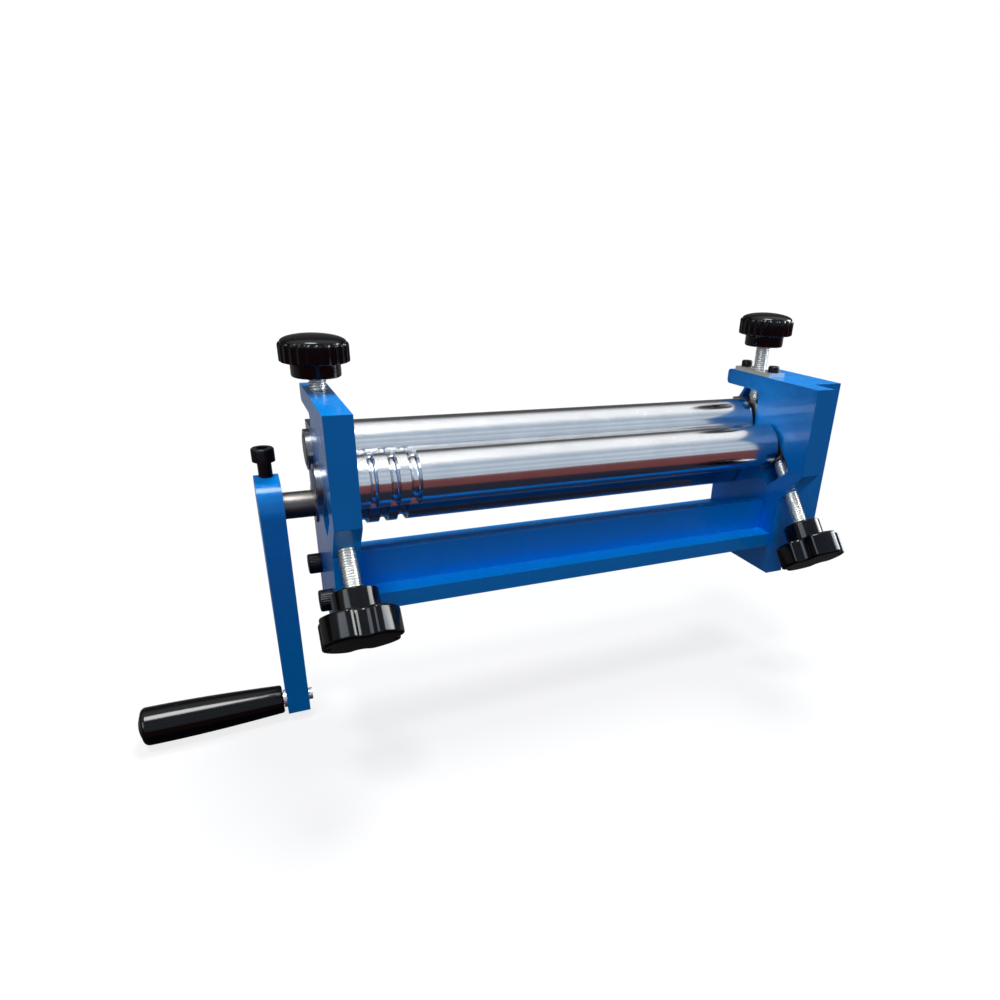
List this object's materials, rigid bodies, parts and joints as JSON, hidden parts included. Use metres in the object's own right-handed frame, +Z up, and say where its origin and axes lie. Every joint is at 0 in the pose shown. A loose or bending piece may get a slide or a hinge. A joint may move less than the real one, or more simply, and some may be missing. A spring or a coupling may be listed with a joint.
{
  "type": "slip roll machine",
  "caption": "Hand-cranked bench slip roll: slotted end plates carry geared pinch rollers and a bending roller on screw-set blocks, with wire grooves, base bars and a side crank.",
  "frame": {"origin": "centre of the underside of the left end plate's foot, on the bench top", "axes": "+X along the rollers from the crank side to the gear housing, +Y to the rear, away from the diagonal adjusters, +Z up"},
  "size_m": [0.48, 0.1408, 0.2646],
  "materials": {
    "blue_enamel": "glossy blue enamel on cast and cut steel",
    "roller_steel": "ground and polished steel rollers",
    "block_steel": "milled steel, fine brushed",
    "bush_steel": "turned steel bush",
    "zinc_steel": "zinc plated steel, slightly warm",
    "black_oxide": "black oxide steel, semi-gloss",
    "black_plastic": "glossy black moulded plastic"
  },
  "bodies": {
    "frame": {"left_plate": "blue_enamel", "right_plate": "blue_enamel", "base_angle": "blue_enamel", "rear_tie_bar": "blue_enamel", "base_screws": "black_oxide", "gear_housing": "blue_enamel", "housing_screws": "black_oxide", "drive_bush_left": "bush_steel", "drive_bush_right": "bush_steel", "nut_plate": "zinc_steel", "nut_plate_screws": "black_oxide"},
    "crank": {"drive_roll": "roller_steel", "drive_gear": "block_steel", "crank_arm": "blue_enamel", "crank_clamp_screw": "black_oxide", "handle_spindle": "zinc_steel"},
    "grip": {"handle_grip": "black_plastic"},
    "top_carriage": {"top_block_left": "block_steel", "top_block_right": "block_steel", "top_bush_left": "bush_steel", "top_bush_right": "bush_steel"},
    "top_roller": {"top_roll": "roller_steel", "top_gear": "block_steel"},
    "top_adjuster_left": {"top_screw_left": "zinc_steel", "top_knob_left": "black_plastic"},
    "top_adjuster_right": {"top_screw_right": "zinc_steel", "top_knob_right": "black_plastic"},
    "bend_carriage": {"bend_block_left": "block_steel", "bend_block_right": "block_steel", "bend_bush_left": "bush_steel", "bend_bush_right": "bush_steel"},
    "bend_roller": {"bend_roll": "roller_steel"},
    "bend_adjuster_left": {"bend_screw_left": "zinc_steel", "bend_knob_left": "black_plastic"},
    "bend_adjuster_right": {"bend_screw_right": "zinc_steel", "bend_knob_right": "black_plastic"}
  },
  "joints": [
    {"name": "crank_turn", "type": "hinge", "parent": "frame", "child": "crank", "pos_m": [0.1595, 0.023, 0.072], "axis": [1, 0, 0], "continuous": true},
    {"name": "grip_spin", "type": "hinge", "parent": "crank", "child": "grip", "pos_m": [-0.0865, 0.023, -0.0655], "axis": [1, 0, 0], "continuous": true},
    {"name": "top_knob_left_turn", "type": "hinge", "parent": "top_carriage", "child": "top_adjuster_left", "pos_m": [0, 0.011, 0.148], "axis": [0, 0, 1], "range_deg": [-1081, 241]},
    {"name": "top_knob_right_turn", "type": "hinge", "parent": "top_carriage", "child": "top_adjuster_right", "pos_m": [0.319, 0.011, 0.16], "axis": [0, 0, 1], "range_deg": [-1081, 241]},
    {"name": "top_press", "type": "slide", "parent": "frame", "child": "top_carriage", "axis": [0, 0, 1], "range_m": [-0.0045, 0.001]},
    {"name": "top_roller_turn", "type": "hinge", "parent": "top_carriage", "child": "top_roller", "pos_m": [0.1595, 0.014, 0.1085], "axis": [1, 0, 0], "continuous": true},
    {"name": "bend_knob_left_turn", "type": "hinge", "parent": "bend_carriage", "child": "bend_adjuster_left", "pos_m": [0, -0.0575, 0.0483], "axis": [0, -0.6428, -0.766], "range_deg": [-1, 2401]},
    {"name": "bend_knob_right_turn", "type": "hinge", "parent": "bend_carriage", "child": "bend_adjuster_right", "pos_m": [0.319, -0.0575, 0.0483], "axis": [0, -0.6428, -0.766], "range_deg": [-1, 2401]},
    {"name": "bend_raise", "type": "slide", "parent": "frame", "child": "bend_carriage", "axis": [0, -0.6428, -0.766], "range_m": [0, 0.01]},
    {"name": "bend_roller_turn", "type": "hinge", "parent": "bend_carriage", "child": "bend_roller", "pos_m": [0.1595, -0.0175, 0.096], "axis": [1, 0, 0], "continuous": true}
  ],
  "couplings": [
    {"joint": "top_roller_turn", "follows": "crank_turn", "ratio": -1},
    {"joint": "top_knob_left_turn", "follows": "top_press", "rad_per_m": 4188.8},
    {"joint": "top_knob_right_turn", "follows": "top_press", "rad_per_m": 4188.8},
    {"joint": "bend_knob_left_turn", "follows": "bend_raise", "rad_per_m": 4188.8},
    {"joint": "bend_knob_right_turn", "follows": "bend_raise", "rad_per_m": 4188.8}
  ]
}
